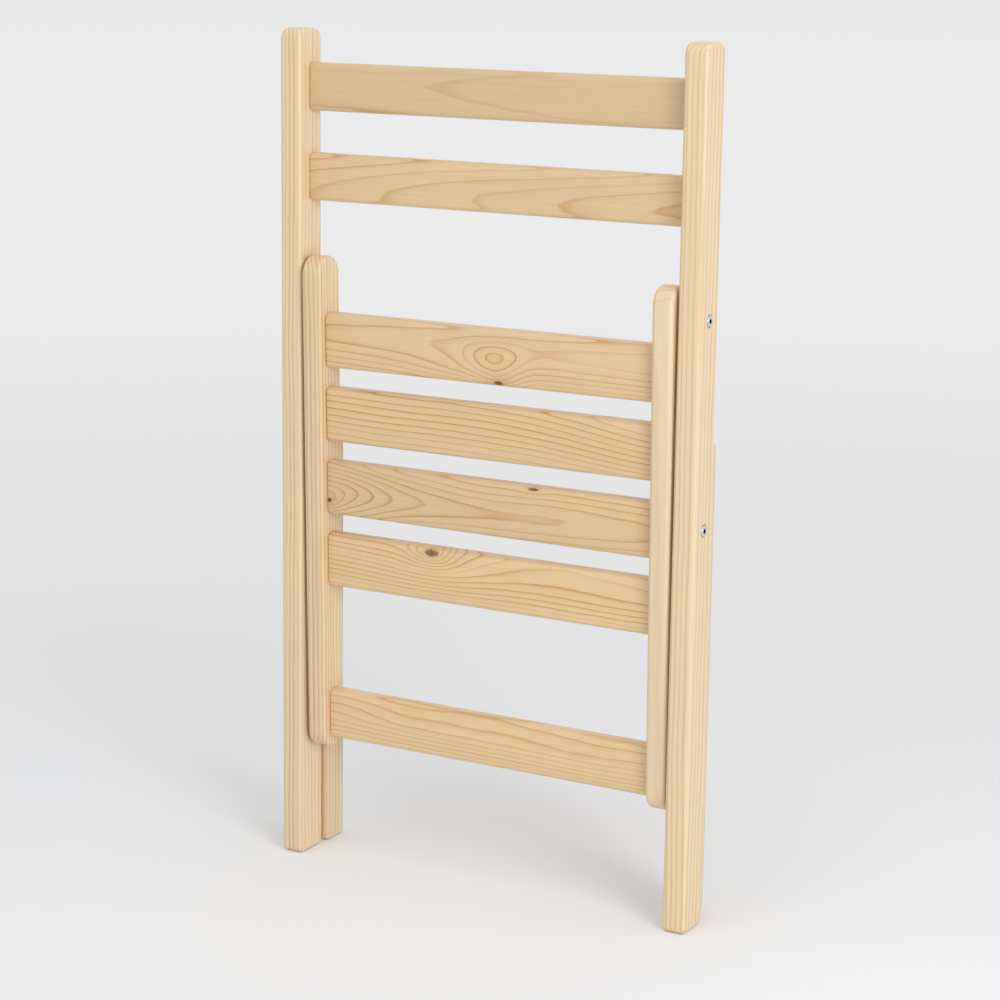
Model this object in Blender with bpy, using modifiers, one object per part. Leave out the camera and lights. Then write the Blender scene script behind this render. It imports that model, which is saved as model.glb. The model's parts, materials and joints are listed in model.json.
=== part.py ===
"""Slatted pine folding chair, folded flat and standing on its feet.

X runs across the chair, -Y is the front of the chair and +Z is up, in metres.  The origin is at the
bottom centre of the folded chair.  Three frames fold on two pivot lines: the back frame (posts and
back slats), the seat frame (rails, slats and crossrail) and the rear leg frame (legs, straps and
cross dowel).
"""
from math import atan2, cos, pi, radians, sin

import bmesh
import bpy
from mathutils import Matrix, Vector

# Back frame
POST_LENGTH = 0.880
POST_THICKNESS = 0.025
POST_DEPTH = 0.0415
OVERALL_WIDTH = 0.478
POST_TOP_RADIUS = 0.011
FOOT_CORNER_RADIUS = 0.0065
BACK_SLAT_HEIGHT = 0.049
BACK_SLAT_THICKNESS = 0.016
BACK_SLAT_SETBACK = 0.017
UPPER_BACK_SLAT_BELOW_TOP = 0.0591
BACK_SLAT_PITCH = 0.092

# Pivot heights on the posts
LEG_PIVOT_HEIGHT = 0.616
SEAT_PIVOT_HEIGHT = 0.410

# Seat frame, measured along the rails from the seat pivot
SEAT_GAP = 0.003
SEAT_RAIL_THICKNESS = 0.0225
SEAT_RAIL_DEPTH = 0.040
SEAT_RAIL_ABOVE_PIVOT = 0.239
SEAT_RAIL_BELOW_PIVOT = 0.291
SEAT_REST_TILT = radians(1.27)
SEAT_SLAT_COUNT = 4
SEAT_SLAT_HEIGHT = 0.0572
SEAT_SLAT_THICKNESS = 0.020
SEAT_SLAT_SETBACK = 0.010
SEAT_SLAT_PITCH = 0.0781
TOP_SEAT_SLAT_FROM_PIVOT = 0.1517
CROSSRAIL_HEIGHT = 0.053
CROSSRAIL_BELOW_PIVOT = 0.2525

# Rear leg frame
LEG_THICKNESS = 0.012
LEG_DEPTH = 0.035
LEG_BEHIND_POST = 0.0055
LEG_SEAT_CLEARANCE = 0.0006
LEG_TOP_HEIGHT = 0.490
LEG_TOP_RADIUS = 0.012
CROSS_DOWEL_DIAMETER = 0.014
CROSS_DOWEL_BELOW_STRAP_END = 0.0415
CROSS_DOWEL_SEAT_DEPTH = 0.008
STRAP_THICKNESS = 0.0015
STRAP_WIDTH = 0.022
STRAP_END_BELOW_LEG_TOP = 0.038
STRAP_SCREW_SPACING = 0.024

# Joinery and hardware
EDGE_ROUND = 0.0045
SLAT_EDGE_ROUND = 0.0055
SLAT_ROUND_SHARE = 0.45  # of a slat's thickness, the most that its edge rounding takes
TENON_LENGTH = 0.020
TENON_WIDTH = 0.030
TENON_THICKNESS = 0.008
BOLT_SHANK_DIAMETER = 0.006
BOLT_HEAD_DIAMETER = 0.0115
BOLT_HEAD_HEIGHT = 0.0026
BOLT_HEAD_PROUD = 0.0008
BOLT_SOCKET_WIDTH = 0.005
BOLT_SOCKET_DEPTH = 0.0018
INSERT_DIAMETER = 0.010
INSERT_WEB = 0.002
SPACER_DIAMETER = 0.022
SCREW_HEAD_DIAMETER = 0.006
SCREW_SHANK_DIAMETER = 0.004
SCREW_LENGTH = 0.010

# Gap between touching faces
CLEARANCE = 0.0003

# Facets of the round pieces, and the distance under which two points are one
MERGE_DISTANCE = 0.00001
ARC_STEPS = 7
ROUND_SIDES = 16
SCREW_SIDES = 10
BEVEL_STEPS = 3

# Places worked out from the sizes above
POST_INNER = OVERALL_WIDTH / 2 - POST_THICKNESS
POST_MID = OVERALL_WIDTH / 2 - POST_THICKNESS / 2
RAIL_OUTER = POST_INNER - SEAT_GAP
RAIL_INNER = RAIL_OUTER - SEAT_RAIL_THICKNESS
RAIL_MID = (RAIL_OUTER + RAIL_INNER) / 2
INSERT_LENGTH = SEAT_RAIL_THICKNESS - TENON_LENGTH / 2 - INSERT_WEB
LEG_INNER = RAIL_OUTER + LEG_SEAT_CLEARANCE
LEG_MID = LEG_INNER + LEG_THICKNESS / 2
LEG_CENTRE_BACK = POST_DEPTH / 2 + LEG_BEHIND_POST + LEG_DEPTH / 2
STRAP_INNER = LEG_INNER + CLEARANCE
STRAP_OUTER = STRAP_INNER + STRAP_THICKNESS

# Depth of the pivot lines, set so that the folded chair is centred on the origin
FRONT_REACH = (SEAT_RAIL_ABOVE_PIVOT - SEAT_RAIL_DEPTH / 2) * sin(SEAT_REST_TILT) + SEAT_RAIL_DEPTH / 2
BACK_REACH = LEG_CENTRE_BACK + LEG_DEPTH / 2
PIVOT_Y = (FRONT_REACH - BACK_REACH) / 2

SIDES = {"left": -1, "right": 1}


def clear_scene():
    for obj in list(bpy.data.objects):
        bpy.data.objects.remove(obj, do_unlink=True)


def new_collection(name):
    collection = bpy.data.collections.new(name)
    bpy.context.scene.collection.children.link(collection)
    return collection


def material(name, colour, roughness, metallic=0.0):
    mat = bpy.data.materials.new(name)
    mat.use_nodes = True
    shader = mat.node_tree.nodes["Principled BSDF"]
    shader.inputs["Base Color"].default_value = (*colour, 1.0)
    shader.inputs["Roughness"].default_value = roughness
    shader.inputs["Metallic"].default_value = metallic
    return mat


def pivot_empty(name, location, tilt=0.0):
    """An empty on a pivot line; its children are modelled around that line."""
    empty = bpy.data.objects.new(name, None)
    empty.location = location
    empty.rotation_euler = (tilt, 0.0, 0.0)
    parts.objects.link(empty)
    return empty


def add_object(name, mesh, parent, location=(0.0, 0.0, 0.0), mat=None, collection=None):
    obj = bpy.data.objects.new(name, mesh)
    obj.parent = parent
    obj.location = location
    if mat:
        mesh.materials.append(mat)
    (collection or parts).objects.link(obj)
    return obj


def rounded_outline(y_low, y_high, z_low, z_high, bottom_radius, top_radius):
    """Points of an upright rectangle in (y, z) with rounded corners, anticlockwise."""
    corners = [(y_high - bottom_radius, z_low + bottom_radius, bottom_radius, -pi / 2),
               (y_high - top_radius, z_high - top_radius, top_radius, 0.0),
               (y_low + top_radius, z_high - top_radius, top_radius, pi / 2),
               (y_low + bottom_radius, z_low + bottom_radius, bottom_radius, pi)]
    points = []
    for y, z, radius, start in corners:
        for step in range(ARC_STEPS + 1):
            angle = start + pi / 2 * step / ARC_STEPS
            point = Vector((y + radius * cos(angle), z + radius * sin(angle)))
            if not points or (point - points[-1]).length > MERGE_DISTANCE:
                points.append(point)
    return points if (points[0] - points[-1]).length > MERGE_DISTANCE else points[:-1]


def board_mesh(name, outline, thickness):
    """A flat (y, z) outline made as thick as given along X, centred on x = 0."""
    curve = bpy.data.curves.new(name, "CURVE")
    curve.dimensions = "2D"
    curve.fill_mode = "BOTH"
    curve.extrude = thickness / 2
    spline = curve.splines.new("POLY")
    spline.points.add(len(outline) - 1)
    for point, (y, z) in zip(spline.points, outline):
        point.co = (y, z, 0.0, 1.0)
    spline.use_cyclic_u = True
    holder = bpy.data.objects.new(name, curve)
    bpy.context.scene.collection.objects.link(holder)
    graph = bpy.context.evaluated_depsgraph_get()
    mesh = bpy.data.meshes.new_from_object(holder.evaluated_get(graph))
    bpy.data.objects.remove(holder, do_unlink=True)
    bpy.data.curves.remove(curve)
    mesh.name = name
    mesh.materials.clear()
    shape = bmesh.new()
    shape.from_mesh(mesh)
    bmesh.ops.remove_doubles(shape, verts=shape.verts, dist=MERGE_DISTANCE)
    bmesh.ops.dissolve_limit(shape, angle_limit=radians(1), verts=shape.verts, edges=shape.edges)
    # the curve's x, y and z become the chair's y, z and x
    turn = Matrix(((0, 0, 1, 0), (1, 0, 0, 0), (0, 1, 0, 0), (0, 0, 0, 1)))
    bmesh.ops.transform(shape, matrix=turn, verts=shape.verts)
    bmesh.ops.recalc_face_normals(shape, faces=shape.faces)
    shape.to_mesh(mesh)
    shape.free()
    return mesh


def round_edges(obj, width):
    bevel = obj.modifiers.new("rounded edges", "BEVEL")
    bevel.width = width
    bevel.segments = BEVEL_STEPS
    bevel.limit_method = "ANGLE"
    bevel.angle_limit = radians(50)


def cut(obj, cutter):
    boolean = obj.modifiers.new("bore", "BOOLEAN")
    boolean.operation = "DIFFERENCE"
    boolean.object = cutter
    boolean.solver = "EXACT"


def add_cylinder(shape, centre, radius, length, sides=ROUND_SIDES):
    """A cylinder along X inside a bmesh."""
    place = Matrix.Translation(Vector(centre)) @ Matrix.Rotation(pi / 2, 4, "Y")
    bmesh.ops.create_cone(shape, cap_ends=True, segments=sides, radius1=radius, radius2=radius,
                          depth=length, matrix=place)


def add_block(shape, centre, size):
    """A box inside a bmesh."""
    place = Matrix.Translation(Vector(centre)) @ Matrix.Diagonal((*size, 1.0))
    bmesh.ops.create_cube(shape, size=1.0, matrix=place)


def add_turned(shape, sign, y, z, profile, sides):
    """A body turned about an X line through (y, z); the profile is (x, radius) from axis to axis."""
    verts = [shape.verts.new((sign * x, y, z + radius)) for x, radius in profile]
    edges = [shape.edges.new(pair) for pair in zip(verts[:-1], verts[1:])]
    bmesh.ops.spin(shape, geom=verts + edges, cent=(0, y, z), axis=(1, 0, 0), angle=2 * pi,
                   steps=sides, use_merge=True)


def finish_mesh(name, shape):
    bmesh.ops.remove_doubles(shape, verts=shape.verts, dist=MERGE_DISTANCE)
    bmesh.ops.recalc_face_normals(shape, faces=shape.faces)
    mesh = bpy.data.meshes.new(name)
    shape.to_mesh(mesh)
    shape.free()
    mesh.shade_smooth()
    mesh.set_sharp_from_angle(angle=radians(40))
    return mesh


def add_cutter(name, shape, parent):
    obj = add_object(name, finish_mesh(name, shape), parent, collection=cutters)
    obj.hide_render = True
    obj.display_type = "WIRE"
    return obj


def tenons_and_mortises(name, centres, half_span, parent):
    """A loose tenon at each end of every crosspiece, and one cutter for all their mortises."""
    size = Vector((TENON_LENGTH, TENON_THICKNESS, TENON_WIDTH))
    cutter_shape = bmesh.new()
    for crosspiece, (y, z) in centres.items():
        for side, sign in SIDES.items():
            place = (sign * half_span, y, z)
            shape = bmesh.new()
            add_block(shape, place, size)
            tenon = f"{crosspiece}_{side}_tenon"
            add_object(tenon, finish_mesh(tenon, shape), parent, mat=birch)
            add_block(cutter_shape, place, size + Vector((2 * CLEARANCE,) * 3))
    return add_cutter(name + "_mortises", cutter_shape, parent)


def slat(name, half_length, y, z, thickness, height, parent, mortises):
    radius = min(SLAT_EDGE_ROUND, thickness * SLAT_ROUND_SHARE)
    outline = rounded_outline(-thickness / 2, thickness / 2, -height / 2, height / 2, radius, radius)
    mesh = board_mesh(name, outline, 2 * half_length)
    obj = add_object(name, mesh, parent, (0.0, y, z), pine_slat)
    cut(obj, mortises)


def pivot_bolts(name, inner_end, parent):
    """Socket head bolts from outside each post in to x = inner_end; gives the cutter for their bores."""
    outer = OVERALL_WIDTH / 2 + BOLT_HEAD_PROUD
    under_head = outer - BOLT_HEAD_HEIGHT
    head = BOLT_HEAD_DIAMETER / 2
    shank = BOLT_SHANK_DIAMETER / 2
    socket_radius = BOLT_SOCKET_WIDTH / 2 / cos(pi / 6)
    bore_shape = bmesh.new()
    for side, sign in SIDES.items():
        shape = bmesh.new()
        add_turned(shape, sign, 0, 0, [(outer, 0), (outer, head - BOLT_HEAD_PROUD / 2),
                                       (outer - BOLT_HEAD_PROUD / 2, head), (under_head, head),
                                       (under_head, shank), (inner_end, shank), (inner_end, 0)],
                   ROUND_SIDES)
        bolt = f"{side}_{name}"
        obj = add_object(bolt, finish_mesh(bolt, shape), parent, mat=steel)
        socket = bmesh.new()
        add_cylinder(socket, (sign * outer, 0, 0), socket_radius, 2 * BOLT_SOCKET_DEPTH, 6)
        cut(obj, add_cutter(bolt + "_socket", socket, parent))
        seat = under_head - CLEARANCE
        past = outer + BOLT_HEAD_HEIGHT
        end = inner_end - CLEARANCE
        add_turned(bore_shape, sign, 0, 0, [(past, 0), (past, head + CLEARANCE), (seat, head + CLEARANCE),
                                            (seat, shank + CLEARANCE), (end, shank + CLEARANCE), (end, 0)],
                   ROUND_SIDES)
    return add_cutter(name + "_bores", bore_shape, parent)


def build_posts(parent, cutters_for_posts):
    outline = rounded_outline(-POST_DEPTH / 2, POST_DEPTH / 2, 0.0, POST_LENGTH,
                              FOOT_CORNER_RADIUS, POST_TOP_RADIUS)
    for side, sign in SIDES.items():
        name = side + "_post"
        post = add_object(name, board_mesh(name, outline, POST_THICKNESS), parent,
                          (sign * POST_MID, 0, 0), pine)
        round_edges(post, EDGE_ROUND)
        for cutter in cutters_for_posts:
            cut(post, cutter)


def build_back_slats(parent):
    half_length = POST_INNER - CLEARANCE
    y = -POST_DEPTH / 2 + BACK_SLAT_SETBACK + BACK_SLAT_THICKNESS / 2
    upper = POST_LENGTH - UPPER_BACK_SLAT_BELOW_TOP
    heights = {"upper_back_slat": upper, "lower_back_slat": upper - BACK_SLAT_PITCH}
    mortises = tenons_and_mortises("back_slat", {name: (y, z) for name, z in heights.items()},
                                   POST_INNER, parent)
    for name, z in heights.items():
        slat(name, half_length, y, z, BACK_SLAT_THICKNESS, BACK_SLAT_HEIGHT, parent, mortises)
    return mortises


def build_seat(parent, bolt_bores):
    """Rails, slats, crossrail and pivot hardware, measured from the seat pivot line."""
    half_length = RAIL_INNER - CLEARANCE
    y = -SEAT_RAIL_DEPTH / 2 + SEAT_SLAT_SETBACK + SEAT_SLAT_THICKNESS / 2
    slats = {f"seat_slat_{step + 1}": (TOP_SEAT_SLAT_FROM_PIVOT - step * SEAT_SLAT_PITCH, SEAT_SLAT_HEIGHT)
             for step in range(SEAT_SLAT_COUNT)}
    slats["rear_seat_crossrail"] = (-CROSSRAIL_BELOW_PIVOT, CROSSRAIL_HEIGHT)
    mortises = tenons_and_mortises("seat_slat", {name: (y, z) for name, (z, height) in slats.items()},
                                   RAIL_INNER, parent)
    for name, (z, height) in slats.items():
        slat(name, half_length, y, z, SEAT_SLAT_THICKNESS, height, parent, mortises)
    end_radius = SEAT_RAIL_DEPTH / 2
    outline = rounded_outline(-SEAT_RAIL_DEPTH / 2, SEAT_RAIL_DEPTH / 2, -SEAT_RAIL_BELOW_PIVOT,
                              SEAT_RAIL_ABOVE_PIVOT, end_radius, end_radius)
    insert_centre = RAIL_OUTER - INSERT_LENGTH / 2
    insert_bores = bmesh.new()
    for sign in SIDES.values():
        add_cylinder(insert_bores, (sign * insert_centre, 0, 0), INSERT_DIAMETER / 2 + CLEARANCE,
                     INSERT_LENGTH + 2 * CLEARANCE)
    insert_cutter = add_cutter("seat_pivot_insert_bores", insert_bores, parent)
    for side, sign in SIDES.items():
        name = side + "_seat_rail"
        rail = add_object(name, board_mesh(name, outline, SEAT_RAIL_THICKNESS), parent,
                          (sign * RAIL_MID, 0, 0), pine)
        round_edges(rail, EDGE_ROUND)
        cut(rail, mortises)
        cut(rail, insert_cutter)
        ring(side + "_seat_pivot_insert", sign * insert_centre, INSERT_DIAMETER, INSERT_LENGTH,
             bolt_bores, parent, zinc)
        ring(side + "_seat_pivot_spacer", sign * (RAIL_OUTER + SEAT_GAP / 2), SPACER_DIAMETER,
             SEAT_GAP - 2 * CLEARANCE, bolt_bores, parent, nylon)


def ring(name, x, diameter, length, bore, parent, mat):
    shape = bmesh.new()
    add_cylinder(shape, (x, 0, 0), diameter / 2, length)
    cut(add_object(name, finish_mesh(name, shape), parent, mat=mat), bore)


def strap_screws(places, parent):
    """Countersunk screws from the straps out into the legs; gives the cutter for their bores."""
    head = SCREW_HEAD_DIAMETER / 2
    shank = SCREW_SHANK_DIAMETER / 2
    face = STRAP_INNER + CLEARANCE
    neck = face + head - shank
    tip = STRAP_INNER + SCREW_LENGTH
    bore_shape = bmesh.new()
    for side, sign in SIDES.items():
        for level, (y, z) in places.items():
            shape = bmesh.new()
            add_turned(shape, sign, y, z, [(face, 0), (face, head), (neck, shank), (tip, shank), (tip, 0)],
                       SCREW_SIDES)
            name = f"{side}_{level}_strap_screw"
            add_object(name, finish_mesh(name, shape), parent, mat=steel)
            add_turned(bore_shape, sign, y, z, [(face - head, 0), (face - head, head + CLEARANCE),
                                                (face, head + CLEARANCE), (neck, shank + CLEARANCE),
                                                (tip + CLEARANCE, shank + CLEARANCE), (tip + CLEARANCE, 0)],
                       SCREW_SIDES)
    return add_cutter("strap_screw_bores", bore_shape, parent)


def strap_board(name, end, grow, thickness, parent, collection, mat=None):
    """A flat bar with round ends from the pivot line to the (y, z) end, wider by grow all round."""
    half_width = STRAP_WIDTH / 2 + grow
    outline = rounded_outline(-half_width, half_width, -end.length - half_width, half_width,
                              half_width, half_width)
    obj = add_object(name, board_mesh(name, outline, thickness), parent, mat=mat, collection=collection)
    obj.rotation_euler = (atan2(end.x, -end.y), 0.0, 0.0)
    return obj


def build_rear_legs(parent, bolt_bores):
    """Legs, straps, screws and cross dowel, measured from the leg pivot line."""
    leg_top = LEG_TOP_HEIGHT - LEG_PIVOT_HEIGHT
    outline = rounded_outline(-LEG_DEPTH / 2, LEG_DEPTH / 2, -LEG_PIVOT_HEIGHT, leg_top,
                              FOOT_CORNER_RADIUS, LEG_TOP_RADIUS)
    strap_end = Vector((LEG_CENTRE_BACK, leg_top - STRAP_END_BELOW_LEG_TOP))
    upper_screw = strap_end * (1 - STRAP_SCREW_SPACING / strap_end.length)
    screw_bores = strap_screws({"upper": upper_screw, "lower": strap_end}, parent)
    dowel_place = (LEG_CENTRE_BACK, strap_end.y - CROSS_DOWEL_BELOW_STRAP_END)
    dowel = bmesh.new()
    add_cylinder(dowel, (0.0, *dowel_place), CROSS_DOWEL_DIAMETER / 2,
                 2 * (LEG_INNER + CROSS_DOWEL_SEAT_DEPTH))
    add_object("rear_leg_cross_dowel", finish_mesh("rear_leg_cross_dowel", dowel), parent, mat=pine_slat)
    dowel_bores = bmesh.new()
    for sign in SIDES.values():
        add_cylinder(dowel_bores, (sign * LEG_INNER, *dowel_place), CROSS_DOWEL_DIAMETER / 2 + CLEARANCE,
                     2 * (CROSS_DOWEL_SEAT_DEPTH + CLEARANCE))
    dowel_cutter = add_cutter("cross_dowel_bores", dowel_bores, parent)
    rebate_inner = LEG_INNER - STRAP_THICKNESS
    rebate_depth = STRAP_OUTER + CLEARANCE - rebate_inner
    for side, sign in SIDES.items():
        name = side + "_rear_leg"
        leg = add_object(name, board_mesh(name, outline, LEG_THICKNESS), parent,
                         (sign * LEG_MID, LEG_CENTRE_BACK, 0), pine)
        round_edges(leg, EDGE_ROUND)
        rebate = strap_board(side + "_strap_rebate", strap_end, CLEARANCE, rebate_depth, parent, cutters)
        rebate.location.x = sign * (rebate_inner + rebate_depth / 2)
        rebate.hide_render = True
        rebate.display_type = "WIRE"
        for cutter in (dowel_cutter, screw_bores, rebate):
            cut(leg, cutter)
        strap = strap_board(side + "_pivot_strap", strap_end, 0.0, STRAP_THICKNESS, parent, parts, steel)
        strap.location.x = sign * (STRAP_OUTER + STRAP_INNER) / 2
        cut(strap, bolt_bores)
        cut(strap, screw_bores)


clear_scene()
parts = new_collection("folding_chair")
cutters = new_collection("cutters")
pine = material("pine", (0.70, 0.50, 0.29), 0.45)
pine_slat = material("pine_slat", (0.68, 0.46, 0.25), 0.45)
birch = material("birch_tenon", (0.66, 0.50, 0.33), 0.6)
steel = material("bright_steel", (0.62, 0.62, 0.60), 0.28, 1.0)
zinc = material("zinc_insert", (0.55, 0.52, 0.42), 0.4, 1.0)
nylon = material("nylon_spacer", (0.06, 0.06, 0.06), 0.5)

back_frame = pivot_empty("back_frame", (0.0, PIVOT_Y, 0.0))
seat_pivot = pivot_empty("seat_pivot", (0.0, PIVOT_Y, SEAT_PIVOT_HEIGHT), SEAT_REST_TILT)
leg_pivot = pivot_empty("leg_pivot", (0.0, PIVOT_Y, LEG_PIVOT_HEIGHT))

seat_bolt_bores = pivot_bolts("seat_pivot_bolt", RAIL_OUTER - INSERT_LENGTH + CLEARANCE, seat_pivot)
leg_bolt_bores = pivot_bolts("leg_pivot_bolt", STRAP_INNER + CLEARANCE, leg_pivot)
back_mortises = build_back_slats(back_frame)
build_posts(back_frame, [back_mortises, seat_bolt_bores, leg_bolt_bores])
build_seat(seat_pivot, seat_bolt_bores)
build_rear_legs(leg_pivot, leg_bolt_bores)
bpy.context.view_layer.update()
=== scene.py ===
"""Looks of the slatted pine folding chair: lacquered pine boards, bright steel hardware and a pale studio.

Every board is rebuilt with finely rounded edges inside its CAD solid's box, and gets its own cut of pine:
growth rings around a pith line that runs along the board, with knots where a branch was.
"""
import json
from math import atan2, cos, pi, radians, sin

import bmesh
import bpy
from mathutils import Matrix, Vector


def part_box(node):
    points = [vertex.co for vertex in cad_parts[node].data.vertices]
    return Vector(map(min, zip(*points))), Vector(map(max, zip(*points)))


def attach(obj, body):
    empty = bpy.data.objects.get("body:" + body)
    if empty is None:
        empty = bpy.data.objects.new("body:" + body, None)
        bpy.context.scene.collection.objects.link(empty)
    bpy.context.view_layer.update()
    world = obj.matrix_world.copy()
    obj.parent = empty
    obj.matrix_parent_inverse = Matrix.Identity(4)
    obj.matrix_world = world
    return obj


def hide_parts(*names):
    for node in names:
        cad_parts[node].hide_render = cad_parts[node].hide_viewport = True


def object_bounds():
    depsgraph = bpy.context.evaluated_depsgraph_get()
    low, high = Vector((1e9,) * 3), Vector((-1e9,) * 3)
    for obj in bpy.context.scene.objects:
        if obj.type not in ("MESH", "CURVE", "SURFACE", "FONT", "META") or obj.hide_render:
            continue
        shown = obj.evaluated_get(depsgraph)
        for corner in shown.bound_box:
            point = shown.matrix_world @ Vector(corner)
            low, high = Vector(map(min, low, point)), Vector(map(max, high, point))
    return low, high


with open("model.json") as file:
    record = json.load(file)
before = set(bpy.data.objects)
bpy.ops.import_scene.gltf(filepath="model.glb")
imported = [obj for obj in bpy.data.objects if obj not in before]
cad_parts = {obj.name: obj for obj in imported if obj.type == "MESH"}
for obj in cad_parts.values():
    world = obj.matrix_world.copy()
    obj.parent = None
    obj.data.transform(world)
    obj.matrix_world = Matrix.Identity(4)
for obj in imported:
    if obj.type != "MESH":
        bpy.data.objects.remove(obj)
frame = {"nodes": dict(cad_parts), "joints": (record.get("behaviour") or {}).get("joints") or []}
CAD_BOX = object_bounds()

# Camera, fitted to the photograph's edges, in pixels of a 1000 by 1000 image, metres and radians
IMAGE_SIZE = 1000.0
FOCAL_PIXELS = 2619.3
PRINCIPAL_POINT = (480.0, 440.0)
CAMERA_PLACE = (1.2587, -2.2878, 0.9926)
CAMERA_YAW = 0.51016
CAMERA_PITCH = 0.19701
CAMERA_ROLL = 0.01149
SENSOR_WIDTH = 36.0

# Rounding of the boards, in metres
POST_TOP_RADIUS = 0.011
LEG_TOP_RADIUS = 0.012
FOOT_RADIUS = 0.0065
EDGE_RADIUS = 0.0045
SLAT_EDGE_RADIUS = 0.0055
SEAT_TILT = radians(1.27)
ARC_STEPS = 12
EDGE_STEPS = 6
BEVEL_ANGLE = radians(50)
SHARP_ANGLE = radians(35)
MERGE_DISTANCE = 1e-6

# Hardware, in metres
ROUND_SIDES = 48
RIM_STEPS = 5
BOLT_HEAD_RADIUS = 0.00575
BOLT_HEAD_HEIGHT = 0.0026
BOLT_SHANK_RADIUS = 0.003
BOLT_PROUD = 0.0008
SOCKET_WIDTH = 0.005
SOCKET_DEPTH = 0.0018
SOCKET_SIDES = 6
DOWEL_END_RADIUS = 0.001
SLAT_END_RADIUS = 0.0012
BOLT_BODIES = {"seat": "seat_frame", "leg": "rear_leg_frame"}

# Recesses, each turned about a pivot line: (x outwards from the board's outer face, radius)
CUT_CLEARANCE = 0.0003
CUT_PROUD = 0.0024
HEAD_RADIUS, HEAD_DEPTH = 0.0066, 0.0024
SHANK_RADIUS, SHANK_DEPTH = 0.0033, 0.030
POST_BORE = ((CUT_PROUD, 0.0), (CUT_PROUD, HEAD_RADIUS), (-HEAD_DEPTH, HEAD_RADIUS),
             (-HEAD_DEPTH, SHANK_RADIUS), (-SHANK_DEPTH, SHANK_RADIUS), (-SHANK_DEPTH, 0.0))
STRAP_HALF_WIDTH = 0.011

# Colours of early and late wood: straight-grained sticks, and the warmer slats
STICK_WOOD = ((0.798, 0.620, 0.410), (0.640, 0.400, 0.165))
SLAT_WOOD = ((0.770, 0.553, 0.315), (0.570, 0.295, 0.080))
WOODS = {"pine": STICK_WOOD, "pine_slat": SLAT_WOOD}

# Knots: brown bark around dark heartwood, each as (closeness to the knot's middle, strength)
KNOT_WOOD = (0.125, 0.045, 0.015)
KNOT_BROWN = (0.300, 0.135, 0.046)
KNOT_RIM = ((0.0, 0.0), (0.30, 0.0), (0.50, 0.85), (0.80, 0.70), (1.0, 0.95))
KNOT_HEART = ((0.0, 0.0), (0.45, 0.0), (0.66, 1.0), (0.82, 0.75), (1.0, 1.0))

# Satin lacquer on the wood
LACQUER_ROUGHNESS = 0.43
LACQUER_SPECULAR = 0.36
COAT_WEIGHT = 0.25
COAT_ROUGHNESS = 0.22
GRAIN_BUMP = 0.22
GRAIN_RELIEF = 0.0004

# Colour and roughness of the small pieces, and the scale of a mottle in the plain ones
BRIGHT_STEEL = (0.78, 0.78, 0.77), 0.22
BOLT_STEEL = (0.80, 0.80, 0.79), 0.20
STRAP_STEEL = (0.60, 0.61, 0.62), 0.36
INSERT_ZINC = (0.62, 0.58, 0.46), 0.34
BLACK_NYLON = (0.030, 0.030, 0.032), 0.45, 900.0
BIRCH = (0.62, 0.46, 0.30), 0.60, 400.0
# Painted shade for the bolt heads' sockets: a near-black colour laid into the recess, and how much of the
# socket it covers
PAINTED_SOCKET_SHADE = (0.035, 0.022, 0.015)
PAINTED_SOCKET_SHADE_SHARE = 0.92

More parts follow.
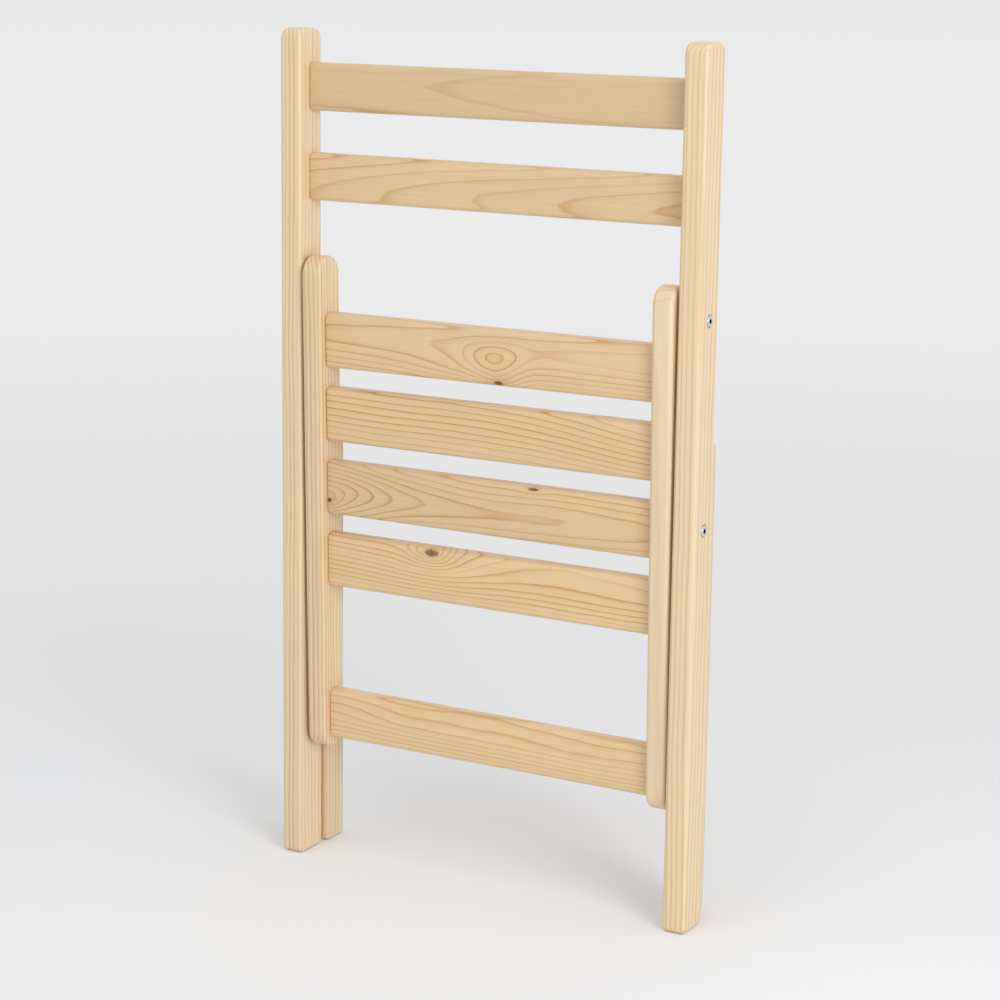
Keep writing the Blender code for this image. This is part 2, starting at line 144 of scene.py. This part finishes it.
# How each board was sawn, in metres from its middle: (across, deep) of the pith and its slopes along the
# grain, the spacing of the rings and the late wood's share of it, flames ((along, across), spread, height)
# that bend the rings, calm places ((along, across), spread, amount) where they fade, and knots
# ((along, across), core, spread and height of the swirl, darkness).  tone is the board's brightness,
# contrast the strength of its rings, and wander, ripple and uneven how far they stray.
CUT_DEFAULTS = {"late": 0.42, "contrast": 0.90, "wander": 0.004, "ripple": 0.0024, "uneven": 1.3, "tone": 1.0,
                "flames": (), "calm": (), "knots": ()}
CUTS = {
    "left_post": {"seed": 1.0, "pith": (0.085, 0.055), "slope": (0.003, 0.0), "rings": 0.0040},
    "right_post": {"seed": 12.0, "pith": (-0.085, 0.058), "slope": (-0.004, 0.003), "rings": 0.0039},
    "left_seat_rail": {"seed": 23.0, "pith": (0.070, 0.046), "slope": (0.004, 0.0), "rings": 0.0038,
                       "tone": 0.955},
    "right_seat_rail": {"seed": 34.0, "pith": (-0.020, 0.070), "slope": (0.024, 0.010), "rings": 0.0058,
                        "late": 0.35, "tone": 0.98, "contrast": 0.55},
    "left_rear_leg": {"seed": 45.0, "pith": (0.060, 0.040), "slope": (0.003, 0.0), "rings": 0.0038,
                      "tone": 0.94},
    "right_rear_leg": {"seed": 56.0, "pith": (-0.060, 0.042), "slope": (0.004, 0.0), "rings": 0.0038,
                       "tone": 0.94},
    "upper_back_slat": {"seed": 67.0, "pith": (0.004, 0.0235), "slope": (0.0, -0.012), "rings": 0.0105,
                        "late": 0.16, "tone": 0.87, "contrast": 0.55, "wander": 0.008, "uneven": 0.5,
                        "flames": (((0.110, -0.004), (0.120, 0.050), -0.0090),)},
    "lower_back_slat": {"seed": 78.0, "pith": (-0.014, 0.022), "slope": (0.025, -0.062), "rings": 0.0064,
                        "late": 0.18, "tone": 0.94, "contrast": 0.70, "wander": 0.005, "uneven": 0.5},
    "seat_slat_1": {"seed": 89.0, "pith": (0.009, 0.0131), "slope": (0.0, -0.0293), "rings": 0.0042,
                    "late": 0.24, "tone": 0.97, "contrast": 1.0, "wander": 0.003, "uneven": 0.3,
                    "ripple": 0.0012,
                    "calm": (((-0.065, 0.008), (0.030, 0.012), 0.6), ((0.130, 0.008), (0.070, 0.012), 0.6)),
                    "flames": (((0.0105, -0.002), (0.032, 0.016), -0.0124),
                               ((-0.030, -0.018), (0.060, 0.014), -0.005)),
                    "knots": (((0.016, -0.0252), (0.0052, 0.0024), (0.026, 0.014), -0.010, 1.0),)},
    "seat_slat_2": {"seed": 100.0, "pith": (-0.120, 0.040), "slope": (-0.012, 0.0), "rings": 0.0062,
                    "late": 0.24, "tone": 0.965, "contrast": 1.05, "wander": 0.008,
                    "flames": (((0.200, 0.010), (0.110, 0.045), 0.018),)},
    "seat_slat_3": {"seed": 111.0, "pith": (-0.003, 0.0075), "slope": (0.0, 0.030), "rings": 0.0050,
                    "late": 0.24, "tone": 0.93, "contrast": 1.10, "wander": 0.004, "uneven": 0.5,
                    "calm": (((0.060, -0.003), (0.090, 0.008), 0.75),
                             ((-0.075, -0.002), (0.020, 0.008), 0.4)),
                    "flames": (((-0.190, -0.012), (0.070, 0.060), -0.018),
                               ((-0.010, 0.014), (0.060, 0.020), 0.003)),
                    "knots": (((-0.186, -0.0130), (0.0032, 0.0024), (0.016, 0.012), -0.008, 0.95),
                              ((0.0557, 0.0264), (0.0060, 0.0014), (0.014, 0.006), 0.003, 0.95))},
    "seat_slat_4": {"seed": 122.0, "pith": (-0.151, 0.030), "slope": (-0.010, 0.0), "rings": 0.0046,
                    "late": 0.26, "contrast": 0.95, "wander": 0.004, "uneven": 0.6,
                    "calm": (((0.130, 0.022), (0.100, 0.012), 0.7),),
                    "flames": (((0.110, 0.034), (0.190, 0.026), -0.024),
                               ((-0.066, 0.010), (0.070, 0.030), 0.008)),
                    "knots": (((-0.062, 0.0235), (0.0085, 0.0038), (0.026, 0.013), 0.016, 0.5),)},
    "rear_seat_crossrail": {"seed": 133.0, "pith": (-0.1505, 0.030), "slope": (-0.006, 0.0), "rings": 0.0038,
                            "late": 0.28, "contrast": 0.75, "wander": 0.005,
                            "flames": (((0.0, 0.030), (0.300, 0.024), -0.022),
                                       ((-0.190, 0.020), (0.060, 0.030), -0.007),
                                       ((0.200, 0.020), (0.060, 0.030), -0.004))},
    "rear_leg_cross_dowel": {"seed": 144.0, "pith": (0.020, 0.035), "slope": (0.0, 0.02), "rings": 0.0030},
}

# Studio: where the floor runs into the backdrop, and the backdrop's tones, by distance from the chair as a
# share of BACKDROP_REACH; lamps as (place, size, power)
FLOOR_HALF = 60.0
FLOOR_TONE = (0.880, 0.891, 0.906)
FLOOR_ROUGHNESS = 0.9
FLOOR_SPECULAR = 0.1
BACKDROP_REACH = 40.0
BACKDROP_START = ((0.0, 0.0), (0.0135, 0.0), (0.039, 1.0), (1.0, 1.0))
BACKDROP_TONES = ((0.0, 0.79), (0.024, 0.775), (0.046, 0.778), (0.110, 0.838), (0.30, 0.834),
                  (0.70, 0.812))
WORLD_LIGHT = 0.685
WORLD_TONE = 0.83
LAMP_AIM = Vector((0.0, 0.0, 0.42))
LAMPS = {"key": ((2.7, -1.7, 1.35), 1.6, 43.0), "top": ((0.3, -0.9, 3.2), 3.0, 19.0)}

JOINTS = {joint["name"]: Vector(joint["pos_m"]) for joint in frame["joints"]}
SEAT_PIVOT = JOINTS["seat_fold"]
SIDES = {"left": -1, "right": 1}
POST_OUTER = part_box("right_post")[1].x


class Graph:
    """Short names for the shader nodes that a procedural material is made of."""

    def __init__(self, block):
        block.use_nodes = True
        self.block = block
        self.tree = block.node_tree
        self.shader = self.tree.nodes.get("Principled BSDF")

    def node(self, kind, **settings):
        made = self.tree.nodes.new(kind)
        for key, value in settings.items():
            setattr(made, key, value)
        return made

    def feed(self, socket, value):
        if isinstance(value, bpy.types.NodeSocket):
            self.tree.links.new(value, socket)
        else:
            socket.default_value = value

    def math(self, operation, *values):
        made = self.node("ShaderNodeMath", operation=operation)
        for socket, value in zip(made.inputs, values):
            self.feed(socket, value)
        return made.outputs[0]

    def add(self, *values):
        total = values[0]
        for value in values[1:]:
            total = self.math("ADD", total, value)
        return total

    def times(self, a, b):
        return self.math("MULTIPLY", a, b)

    def combine(self, x, y, z):
        made = self.node("ShaderNodeCombineXYZ")
        for socket, value in zip(made.inputs, (x, y, z)):
            self.feed(socket, value)
        return made.outputs[0]

    def noise(self, place, detail=2.0, roughness=0.5):
        """Noise from -0.5 to 0.5 at a place that is already scaled."""
        made = self.node("ShaderNodeTexNoise")
        self.feed(made.inputs["Vector"], place)
        made.inputs["Scale"].default_value = 1.0
        made.inputs["Detail"].default_value = detail
        made.inputs["Roughness"].default_value = roughness
        return self.math("SUBTRACT", made.outputs[0], 0.5)

    def ramp(self, value, stops):
        """A value through (position, brightness) stops."""
        made = self.node("ShaderNodeValToRGB")
        elements = made.color_ramp.elements
        while len(elements) < len(stops):
            elements.new(0.5)
        for element, (position, level) in zip(elements, stops):
            element.position = position
            element.color = (level, level, level, 1.0)
        self.feed(made.inputs[0], value)
        return made.outputs[0]

    def mix(self, share, a, b, blend="MIX"):
        made = self.node("ShaderNodeMix", data_type="RGBA", blend_type=blend)
        self.feed(made.inputs["Factor"], share)
        for socket, value in ((made.inputs[6], a), (made.inputs[7], b)):
            self.feed(socket, value if isinstance(value, bpy.types.NodeSocket) else (*value, 1.0))
        return made.outputs[2]

    def place(self):
        """x, y and z in the object's own axes."""
        split = self.node("ShaderNodeSeparateXYZ")
        self.feed(split.inputs[0], self.node("ShaderNodeTexCoord").outputs["Object"])
        return split.outputs

    def chance(self, value, seed):
        """A number from -0.5 to 0.5 that is the same wherever the value is."""
        made = self.node("ShaderNodeTexWhiteNoise", noise_dimensions="2D")
        self.feed(made.inputs["Vector"], self.combine(value, seed, 0.0))
        return self.math("SUBTRACT", made.outputs["Value"], 0.5)

    def bump(self, height, strength, distance):
        made = self.node("ShaderNodeBump")
        made.inputs["Strength"].default_value = strength
        made.inputs["Distance"].default_value = distance
        self.feed(made.inputs["Height"], height)
        self.feed(self.shader.inputs["Normal"], made.outputs[0])

    def hump(self, along, across, place, spread):
        """exp(-d^2) around a place on the board's face, with its spread along and across the grain."""
        du = self.times(self.math("SUBTRACT", along, place[0]), 1.0 / spread[0])
        dv = self.times(self.math("SUBTRACT", across, place[1]), 1.0 / spread[1])
        square = self.add(self.times(du, du), self.times(dv, dv))
        return self.math("EXPONENT", self.times(square, -1.0))


def shaded(colour, factor):
    return tuple(channel * factor for channel in colour)


def pine(name, grain, wood, cut):
    """Lacquered pine. grain is the board's axis, X or Z; cut says where the pith, flames and knots lie."""
    g = Graph(bpy.data.materials.new(name))
    x, y, z = g.place()
    along, across, deep = (x, z, y) if grain == "X" else (z, x, y)
    cut = CUT_DEFAULTS | cut
    seed, share, wander = cut["seed"], cut["late"], cut["wander"]
    swirls = [(place, spread, height) for place, _, spread, height, _ in cut["knots"]]

    # distance from the pith, bent by slow drift, fine ripple, flames and knots
    drift = g.noise(g.combine(g.times(along, 5.0), seed, 0.0), 1.0)
    drift_deep = g.noise(g.combine(g.times(along, 4.0), seed + 7.3, 0.0), 1.0)
    ripple = g.noise(g.combine(g.times(along, 14.0), g.add(g.times(across, 60.0), seed),
                               g.times(deep, 60.0)), 3.0)
    pith_across = g.add(across, -cut["pith"][0], g.times(along, -cut["slope"][0]), g.times(drift, wander))
    pith_deep = g.add(deep, -cut["pith"][1], g.times(along, -cut["slope"][1]), g.times(drift_deep, wander))
    radius = g.math("SQRT", g.add(g.times(pith_across, pith_across), g.times(pith_deep, pith_deep)))
    radius = g.add(radius, g.times(ripple, cut["ripple"]))
    for place, spread, height in [*cut["flames"], *swirls]:
        radius = g.add(radius, g.times(g.hump(along, across, place, spread), height))

    # pale early wood that darkens to a thin line of late wood, each year with its own strength
    uneven = g.noise(g.combine(g.times(radius, 40.0), seed + 3.1, 0.0), 1.0)
    years = g.add(g.times(radius, 1.0 / cut["rings"]), g.times(uneven, cut["uneven"]))
    late = g.ramp(g.math("FRACT", years), ((0.0, 0.0), (1 - 2.1 * share, 0.04), (1 - share, 0.22),
                                           (1 - 0.40 * share, 0.92), (1 - 0.15 * share, 1.0), (1.0, 0.0)))
    year = g.chance(g.math("FLOOR", years), seed)
    patch = g.noise(g.combine(g.times(along, 3.0), g.times(across, 16.0),
                              g.add(g.times(deep, 16.0), seed)), 2.0)
    fibre = g.noise(g.combine(g.times(along, 55.0), g.times(across, 2600.0), g.times(deep, 2600.0)), 3.0, 0.6)
    streak = g.noise(g.combine(g.times(along, 6.0), g.times(across, 420.0),
                               g.add(g.times(deep, 420.0), seed)), 2.0)
    strength = g.times(g.add(0.80, g.times(year, 0.60), g.times(patch, 0.6)), cut["contrast"])
    for place, spread, amount in cut["calm"]:
        calm = g.times(g.hump(along, across, place, spread), -amount)
        strength = g.times(strength, g.add(1.0, calm))

    # the wood's colour, shaded by patches, fibres and streaks, with the knots on top
    colour = g.mix(g.times(late, strength), *wood)
    shade = g.add(cut["tone"], g.times(patch, 0.12), g.times(fibre, 0.10), g.times(streak, 0.14))
    colour = g.mix(1.0, colour, g.combine(shade, shade, shade), "MULTIPLY")
    grit = g.noise(g.combine(g.times(along, 260.0), g.times(across, 420.0), g.times(deep, 60.0)), 3.0, 0.6)
    for place, size, spread, _, darkness in cut["knots"]:
        halo = g.hump(along, across, place, (spread[0] * 0.6, spread[1] * 0.6))
        colour = g.mix(g.times(halo, 0.40 * darkness), colour, shaded(wood[1], 0.75))
        core = g.add(g.hump(along, across, place, size), g.times(grit, 0.55))
        colour = g.mix(g.ramp(core, KNOT_RIM), colour, KNOT_BROWN)
        colour = g.mix(g.times(g.ramp(core, KNOT_HEART), darkness), colour, KNOT_WOOD)

    g.feed(g.shader.inputs["Base Color"], colour)
    g.feed(g.shader.inputs["Roughness"], g.add(LACQUER_ROUGHNESS, g.times(late, -0.05), g.times(fibre, 0.10)))
    g.bump(g.add(g.times(late, 0.35), g.times(fibre, 0.8)), GRAIN_BUMP, GRAIN_RELIEF)
    g.shader.inputs["Coat Weight"].default_value = COAT_WEIGHT
    g.shader.inputs["Coat Roughness"].default_value = COAT_ROUGHNESS
    g.shader.inputs["Specular IOR Level"].default_value = LACQUER_SPECULAR
    return g.block


def steel(name, colour, roughness, socket=None):
    """Plated steel with fine drawn lines, and painted shade that darkens a socket given as (depth, radius)
    about X.
    """
    g = Graph(bpy.data.materials.new(name))
    x, y, z = g.place()
    lines = g.noise(g.combine(g.times(x, 900.0), g.times(y, 900.0), g.times(z, 60.0)), 3.0)
    cloud = g.noise(g.combine(g.times(x, 70.0), g.times(y, 70.0), g.times(z, 70.0)), 3.0)
    tone = g.mix(g.add(0.5, cloud), shaded(colour, 0.86), colour)
    if socket:
        away = g.math("SQRT", g.add(g.times(y, y), g.times(z, z)))
        inside = g.times(g.math("GREATER_THAN", g.math("ABSOLUTE", x), socket[0]),
                         g.math("LESS_THAN", away, socket[1]))
        # painted shade: the socket's hollow is coloured near-black
        tone = g.mix(g.times(inside, PAINTED_SOCKET_SHADE_SHARE), tone, PAINTED_SOCKET_SHADE)
    g.feed(g.shader.inputs["Base Color"], tone)
    g.feed(g.shader.inputs["Roughness"], g.add(roughness, g.times(lines, 0.14), g.times(cloud, 0.10)))
    g.shader.inputs["Metallic"].default_value = 1.0
    return g.block


def plain_grained(name, colour, roughness, grain_scale):
    """A plain material with a fine mottle, for the small hidden pieces."""
    g = Graph(bpy.data.materials.new(name))
    x, y, z = (g.times(axis, grain_scale) for axis in g.place())
    mottle = g.noise(g.combine(x, y, z), 3.0)
    tone = g.mix(g.add(0.5, mottle), shaded(colour, 0.8), shaded(colour, 1.15))
    g.feed(g.shader.inputs["Base Color"], tone)
    g.feed(g.shader.inputs["Roughness"], g.add(roughness, g.times(mottle, 0.15)))
    return g.block


def rounded_outline(low, high, bottom_radius, top_radius):
    """Points of an upright rectangle from corner low to corner high, with round corners, anticlockwise."""
    corners = [(high[0] - bottom_radius, low[1] + bottom_radius, bottom_radius, -pi / 2),
               (high[0] - top_radius, high[1] - top_radius, top_radius, 0.0),
               (low[0] + top_radius, high[1] - top_radius, top_radius, pi / 2),
               (low[0] + bottom_radius, low[1] + bottom_radius, bottom_radius, pi)]
    points = []
    for y, z, radius, start in corners:
        for step in range(ARC_STEPS + 1):
            angle = start + pi / 2 * step / ARC_STEPS
            point = Vector((y + radius * cos(angle), z + radius * sin(angle)))
            if not points or (point - points[-1]).length > MERGE_DISTANCE:
                points.append(point)
    return points if (points[0] - points[-1]).length > MERGE_DISTANCE else points[:-1]


def new_piece(name, shape, place):
    """An object from a bmesh that is modelled around its own middle, set at its place."""
    bmesh.ops.recalc_face_normals(shape, faces=shape.faces)
    mesh = bpy.data.meshes.new(name)
    shape.to_mesh(mesh)
    shape.free()
    obj = bpy.data.objects.new(name, mesh)
    bpy.context.scene.collection.objects.link(obj)
    obj.matrix_world = place
    return obj


def prism(outline, x_low, x_high):
    """A (y, z) outline extruded along X."""
    shape = bmesh.new()
    near = [shape.verts.new((x_low, y, z)) for y, z in outline]
    far = [shape.verts.new((x_high, y, z)) for y, z in outline]
    shape.faces.new(near)
    shape.faces.new(far)
    for i in range(len(outline)):
        j = (i + 1) % len(outline)
        shape.faces.new((near[i], near[j], far[j], far[i]))
    return shape


def turned(profile, steps):
    """A body turned about the X axis; the profile is (x, radius) from axis to axis."""
    shape = bmesh.new()
    verts = [shape.verts.new((x, 0.0, radius)) for x, radius in profile]
    edges = [shape.edges.new(pair) for pair in zip(verts[:-1], verts[1:])]
    bmesh.ops.spin(shape, geom=verts + edges, cent=(0, 0, 0), axis=(1, 0, 0), angle=2 * pi, steps=steps,
                   use_merge=True)
    bmesh.ops.remove_doubles(shape, verts=shape.verts, dist=MERGE_DISTANCE)
    return shape


def settle(obj):
    """Writes the modifiers' result into the mesh."""
    graph = bpy.context.evaluated_depsgraph_get()
    mesh = bpy.data.meshes.new_from_object(obj.evaluated_get(graph), preserve_all_data_layers=True,
                                           depsgraph=graph)
    obj.modifiers.clear()
    obj.data = mesh


def soften(obj, radius):
    """Rounds the sharp edges and smooths the shading over them."""
    obj.data.shade_smooth()
    bevel = obj.modifiers.new("rounded edges", "BEVEL")
    bevel.width = radius
    bevel.segments = EDGE_STEPS
    bevel.limit_method = "ANGLE"
    bevel.angle_limit = BEVEL_ANGLE
    bevel.harden_normals = True
    settle(obj)


def subtract(obj, tools):
    """Cuts the tools out of the object and removes them."""
    for tool in tools:
        boolean = obj.modifiers.new("cut", "BOOLEAN")
        boolean.operation = "DIFFERENCE"
        boolean.object = tool
        boolean.solver = "EXACT"
    settle(obj)
    for tool in tools:
        bpy.data.objects.remove(tool, do_unlink=True)


def stand_for(obj, node, material, body):
    """The piece replaces its CAD node, takes its finish and moves with its body."""
    obj.data.materials.clear()
    obj.data.materials.append(material)
    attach(obj, body)
    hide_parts(node)


def board_box(node, axes):
    """The middle and the size of a CAD board, measured in the given axes."""
    back = axes.inverted()
    points = [back @ v.co for v in frame["nodes"][node].data.vertices]
    low, high = (Vector(side(p[i] for p in points) for i in range(3)) for side in (min, max))
    return (low + high) / 2, high - low


def board(node, body, axes, grain, end_radii, edge_radius, slot, cutters=()):
    """A board in the place of its CAD node, with round ends in the YZ plane, soft edges and recesses."""
    middle, size = board_box(node, axes)
    half = size / 2
    outline = rounded_outline((-half.y, -half.z), (half.y, half.z), *end_radii)
    obj = new_piece("dressed_" + node, prism(outline, -half.x, half.x), axes @ Matrix.Translation(middle))
    soften(obj, edge_radius)
    if cutters:
        subtract(obj, cutters)
    stand_for(obj, node, pine("pine_" + node, grain, WOODS[slot], CUTS[node]), body)


def bore(side, face, pivot, profile):
    """A tool for a turned recess from a board's outer face inwards, on the side's sign."""
    shape = turned(profile, ROUND_SIDES)
    bmesh.ops.transform(shape, matrix=Matrix.Diagonal((side, 1.0, 1.0, 1.0)), verts=shape.verts)
    return new_piece("bore", shape, Matrix.Translation((side * face, pivot.y, pivot.z)))


def strap_rebate(side):
    """A tool for the flat bed of a pivot strap in its leg's inner face."""
    pivot = JOINTS["rear_leg_fold"]
    low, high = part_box(f"{side}_pivot_strap")
    lowest = min(v.co.z for v in frame["nodes"][f"{side}_pivot_strap"].data.vertices)
    end = Vector((0.0, high.y - STRAP_HALF_WIDTH - pivot.y, lowest + STRAP_HALF_WIDTH - pivot.z))
    half = STRAP_HALF_WIDTH + CUT_CLEARANCE
    outline = rounded_outline((-half, -end.length - half), (half, half), half, half)
    if SIDES[side] > 0:
        span = (low.x - CUT_PROUD, high.x + CUT_CLEARANCE)
    else:
        span = (low.x - CUT_CLEARANCE, high.x + CUT_PROUD)
    turn = Matrix.Rotation(atan2(end.y, -end.z), 4, "X")
    return new_piece("rebate", prism(outline, *span), Matrix.Translation((0.0, pivot.y, pivot.z)) @ turn)


def bolt(node, body, side, pivot, bright):
    """A socket head bolt with a rounded rim, seen from outside the post."""
    low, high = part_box(node)
    length = high.x - low.x
    head = BOLT_HEAD_RADIUS
    rim = BOLT_PROUD / 2
    socket_radius = SOCKET_WIDTH / 2 / cos(pi / SOCKET_SIDES)
    profile = [(0.0, 0.0), (0.0, SOCKET_WIDTH / 2 + rim)]
    profile += [(rim * (sin(a) - 1.0) * 2, head - rim * 2 * (1 - cos(a))) for a in
                (pi / 2 * (1 - step / RIM_STEPS) for step in range(RIM_STEPS + 1))]
    profile += [(-BOLT_HEAD_HEIGHT, head), (-BOLT_HEAD_HEIGHT, BOLT_SHANK_RADIUS),
                (-length, BOLT_SHANK_RADIUS), (-length, 0.0)]
    outer = high.x if side > 0 else low.x
    turn = Matrix.Diagonal((side, 1.0, 1.0, 1.0))
    place = Matrix.Translation((outer, pivot.y, pivot.z))
    shape = turned(profile, ROUND_SIDES)
    bmesh.ops.transform(shape, matrix=turn, verts=shape.verts)
    obj = new_piece("dressed_" + node, shape, place)
    socket = turned([(-SOCKET_DEPTH - SOCKET_WIDTH / 4, 0.0), (-SOCKET_DEPTH, socket_radius),
                     (SOCKET_DEPTH, socket_radius), (SOCKET_DEPTH, 0.0)], SOCKET_SIDES)
    bmesh.ops.transform(socket, matrix=turn, verts=socket.verts)
    subtract(obj, [new_piece("socket", socket, place)])
    obj.data.shade_smooth()
    obj.data.set_sharp_from_angle(angle=SHARP_ANGLE)
    stand_for(obj, node, bright, body)


def posts_and_back(upright):
    """The posts with their bolt bores, and the two back slats."""
    for side, sign in SIDES.items():
        bores = [bore(sign, POST_OUTER, pivot, POST_BORE) for pivot in JOINTS.values()]
        board(f"{side}_post", "back_frame", upright, "Z", (FOOT_RADIUS, POST_TOP_RADIUS), EDGE_RADIUS, "pine",
              bores)
    for node in ("upper_back_slat", "lower_back_slat"):
        board(node, "back_frame", upright, "X", (SLAT_EDGE_RADIUS,) * 2, SLAT_END_RADIUS, "pine_slat")


def seat(leaning):
    """The seat rails with the beds of their inserts, the slats and the crossrail."""
    for side, sign in SIDES.items():
        node = f"{side}_seat_rail"
        size = board_box(node, leaning)[1]
        low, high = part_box(f"{side}_seat_pivot_insert")
        radius, depth = (high.z - low.z) / 2 + CUT_CLEARANCE, high.x - low.x + CUT_CLEARANCE
        outer = high.x if sign > 0 else -low.x
        bed = ((CUT_PROUD, 0.0), (CUT_PROUD, radius), (-depth, radius), (-depth, 0.0))
        board(node, "seat_frame", leaning, "Z", (size.y / 2,) * 2, EDGE_RADIUS, "pine",
              [bore(sign, outer, SEAT_PIVOT, bed)])
    for node in ("seat_slat_1", "seat_slat_2", "seat_slat_3", "seat_slat_4", "rear_seat_crossrail"):
        board(node, "seat_frame", leaning, "X", (SLAT_EDGE_RADIUS,) * 2, SLAT_END_RADIUS, "pine_slat")


def rear_legs(upright):
    """The rear legs with their straps' rebates, and the dowel that joins them."""
    for side in SIDES:
        board(f"{side}_rear_leg", "rear_leg_frame", upright, "Z", (FOOT_RADIUS, LEG_TOP_RADIUS), EDGE_RADIUS,
              "pine", [strap_rebate(side)])
    node = "rear_leg_cross_dowel"
    low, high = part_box(node)
    middle, half = (low + high) / 2, (high - low) / 2
    ease = DOWEL_END_RADIUS
    profile = [(-half.x, 0.0), (-half.x, half.z - ease), (-half.x + ease, half.z),
               (half.x - ease, half.z), (half.x, half.z - ease), (half.x, 0.0)]
    dowel = new_piece("dressed_" + node, turned(profile, ROUND_SIDES), Matrix.Translation(middle))
    dowel.data.shade_smooth()
    dowel.data.set_sharp_from_angle(angle=SHARP_ANGLE)
    wood = pine("pine_cross_dowel", "X", SLAT_WOOD, CUTS[node])
    stand_for(dowel, node, wood, "rear_leg_frame")


def dress_small_pieces():
    """Detailed pivot bolts, and finishes for the CAD's own straps, screws, spacers, inserts and tenons."""
    # the bolt steel carries painted shade in its sockets
    socketed = steel("bright_bolt_steel", *BOLT_STEEL, (BOLT_PROUD, 0.6 * SOCKET_WIDTH))
    finishes = {"strap": steel("zinc_plated_strap", *STRAP_STEEL),
                "screw": steel("bright_steel", *BRIGHT_STEEL),
                "spacer": plain_grained("black_nylon", *BLACK_NYLON),
                "insert": steel("zinc_insert", *INSERT_ZINC),
                "tenon": plain_grained("birch_tenon", *BIRCH)}
    for name, obj in frame["nodes"].items():
        kind = name.rsplit("_", 1)[-1]
        if kind in finishes:
            obj.data.materials.clear()
            obj.data.materials.append(finishes[kind])
    for side, sign in SIDES.items():
        bolt(f"{side}_seat_pivot_bolt", BOLT_BODIES["seat"], sign, JOINTS["seat_fold"], socketed)
        bolt(f"{side}_leg_pivot_bolt", BOLT_BODIES["leg"], sign, JOINTS["rear_leg_fold"], socketed)


def seen_directly(g):
    """1 for rays from the camera and for mirror and glass rays, 0 for the rays that light the object."""
    path = g.node("ShaderNodeLightPath").outputs
    return g.math("MAXIMUM", path["Is Camera Ray"],
                  g.math("MAXIMUM", path["Is Glossy Ray"], path["Is Transmission Ray"]))


def studio():
    """A pale floor that runs into a pale backdrop, soft light all round, and lamps at the right and above."""
    g = Graph(bpy.data.materials.new("pale_floor"))
    x, y, z = g.place()
    away = g.times(g.math("SQRT", g.add(g.times(x, x), g.times(y, y))), 1.0 / BACKDROP_REACH)
    g.shader.inputs["Base Color"].default_value = (*FLOOR_TONE, 1.0)
    g.shader.inputs["Roughness"].default_value = FLOOR_ROUGHNESS
    g.shader.inputs["Specular IOR Level"].default_value = FLOOR_SPECULAR
    backdrop = g.node("ShaderNodeEmission")
    g.feed(backdrop.inputs["Color"], g.ramp(away, BACKDROP_TONES))
    both = g.node("ShaderNodeMixShader")
    g.feed(both.inputs[0], g.times(g.ramp(away, BACKDROP_START), seen_directly(g)))
    g.feed(both.inputs[1], g.shader.outputs[0])
    g.feed(both.inputs[2], backdrop.outputs[0])
    g.feed(g.tree.nodes["Material Output"].inputs["Surface"], both.outputs[0])
    shape = bmesh.new()
    bmesh.ops.create_grid(shape, x_segments=1, y_segments=1, size=FLOOR_HALF)
    floor = new_piece("floor", shape, Matrix.Translation((0.0, 0.0, CAD_BOX[0].z)))
    floor.data.materials.append(g.block)

    sky = Graph(bpy.data.worlds.new("studio"))
    strength = sky.add(WORLD_LIGHT, sky.times(seen_directly(sky), WORLD_TONE - WORLD_LIGHT))
    background = sky.tree.nodes["Background"]
    background.inputs["Color"].default_value = (1.0, 1.0, 1.0, 1.0)
    sky.feed(background.inputs["Strength"], strength)
    bpy.context.scene.world = sky.block

    for name, (place, size, power) in LAMPS.items():
        lamp = bpy.data.lights.new(name, "AREA")
        lamp.shape = "DISK"
        lamp.size = size
        lamp.energy = power
        obj = bpy.data.objects.new(name, lamp)
        obj.location = place
        obj.rotation_euler = (LAMP_AIM - Vector(place)).to_track_quat("-Z", "Y").to_euler()
        bpy.context.scene.collection.objects.link(obj)


def camera():
    """The photograph's viewpoint, with a small lens shift for its crop."""
    ahead = Vector((-sin(CAMERA_YAW) * cos(CAMERA_PITCH), cos(CAMERA_YAW) * cos(CAMERA_PITCH),
                    -sin(CAMERA_PITCH)))
    level = Vector((cos(CAMERA_YAW), sin(CAMERA_YAW), 0.0))
    upward = level.cross(ahead)
    right = cos(CAMERA_ROLL) * level + sin(CAMERA_ROLL) * upward
    up = cos(CAMERA_ROLL) * upward - sin(CAMERA_ROLL) * level
    data = bpy.data.cameras.new("camera")
    data.sensor_width = SENSOR_WIDTH
    data.lens = FOCAL_PIXELS / IMAGE_SIZE * SENSOR_WIDTH
    data.shift_x = 0.5 - PRINCIPAL_POINT[0] / IMAGE_SIZE
    data.shift_y = PRINCIPAL_POINT[1] / IMAGE_SIZE - 0.5
    obj = bpy.data.objects.new("camera", data)
    obj.matrix_world = Matrix.Translation(CAMERA_PLACE) @ Matrix((right, up, -ahead)).transposed().to_4x4()
    bpy.context.scene.collection.objects.link(obj)
    bpy.context.scene.camera = obj


UPRIGHT = Matrix.Identity(4)
posts_and_back(UPRIGHT)
seat(Matrix.Translation(SEAT_PIVOT) @ Matrix.Rotation(SEAT_TILT, 4, "X"))
rear_legs(UPRIGHT)
dress_small_pieces()
studio()
camera()
bpy.context.scene.view_settings.view_transform = "Standard"
